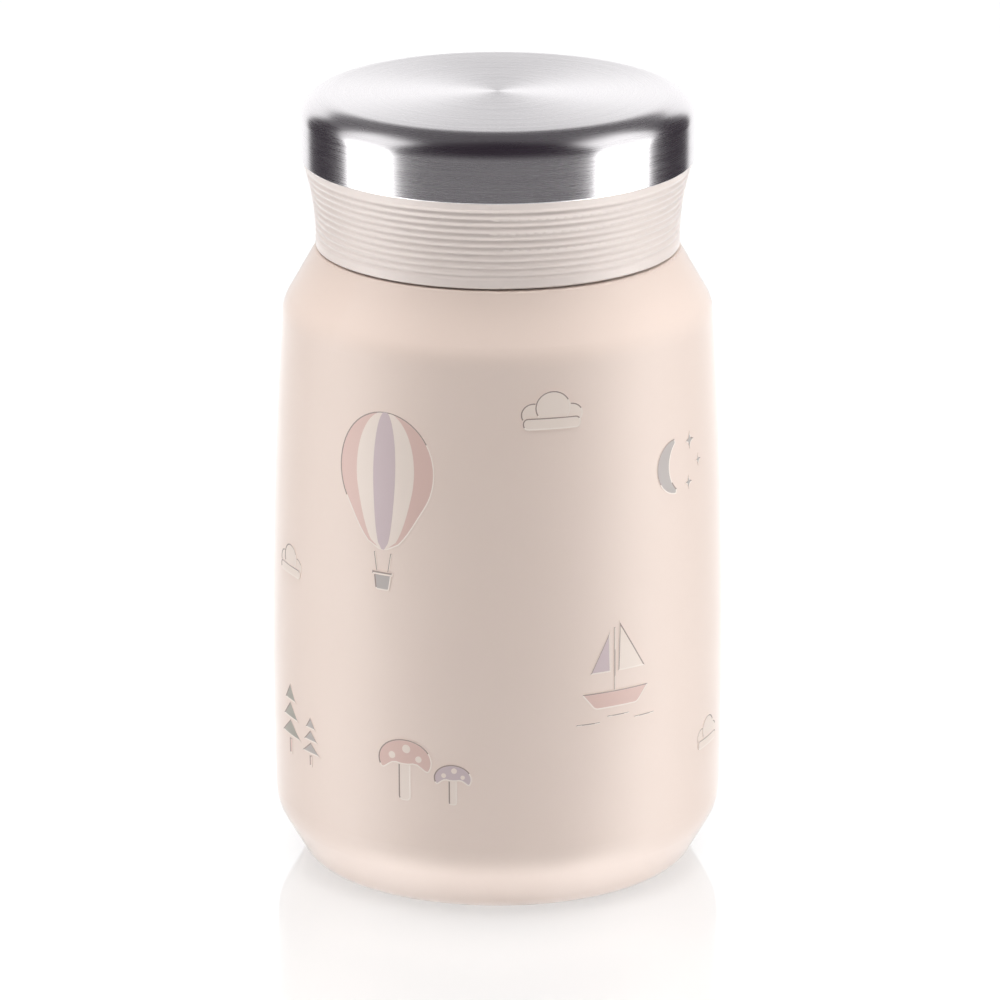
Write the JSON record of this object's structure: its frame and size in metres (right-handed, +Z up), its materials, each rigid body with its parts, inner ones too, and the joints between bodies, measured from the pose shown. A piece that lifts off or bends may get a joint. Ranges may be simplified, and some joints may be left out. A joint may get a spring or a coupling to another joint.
{
  "type": "insulated food jar",
  "caption": "Double-walled steel food jar with a chamfered foot, tapered shoulder and an insulated screw-on lid with ribbed collar and steel cap.",
  "frame": {"origin": "centre of the base, on the surface that the jar stands on", "axes": "+Z up along the jar's axis; +X and +Y square to it, with the getter on the +X side"},
  "size_m": [0.08, 0.08, 0.139],
  "materials": {
    "shell_paint": "satin",
    "vessel_steel": "satin",
    "cap_steel": "satin",
    "collar_plastic": "matte",
    "liner_plastic": "satin",
    "seal_silicone": "matte",
    "foam": "matte",
    "foil": "polished",
    "getter": "matte",
    "bead_glass": "gloss"
  },
  "bodies": {
    "jar": {"outer_shell": "shell_paint", "outer_base_plate": "vessel_steel", "evacuation_bead": "bead_glass", "base_cover": "vessel_steel", "inner_vessel": "vessel_steel", "inner_vessel_base": "vessel_steel", "radiation_foil": "foil", "getter_clip": "vessel_steel", "getter_pellet": "getter"},
    "seal": {"lid_seal_ring": "seal_silicone"},
    "lid": {"lid_cap": "cap_steel", "lid_grip_collar": "collar_plastic", "lid_liner": "liner_plastic", "lid_insulation": "foam", "lid_backing_plate": "liner_plastic"}
  },
  "joints": [
    {"name": "lid_rise", "type": "slide", "parent": "jar", "child": "seal", "axis": [0, 0, 1], "range_m": [0, 0.032]},
    {"name": "lid_turn", "type": "hinge", "parent": "seal", "child": "lid", "pos_m": [0, 0, 0.12695], "axis": [0, 0, 1], "range_deg": [0, 1440]}
  ],
  "couplings": [
    {"joint": "lid_rise", "follows": "lid_turn", "m_per_rad": 0.0012732}
  ]
}
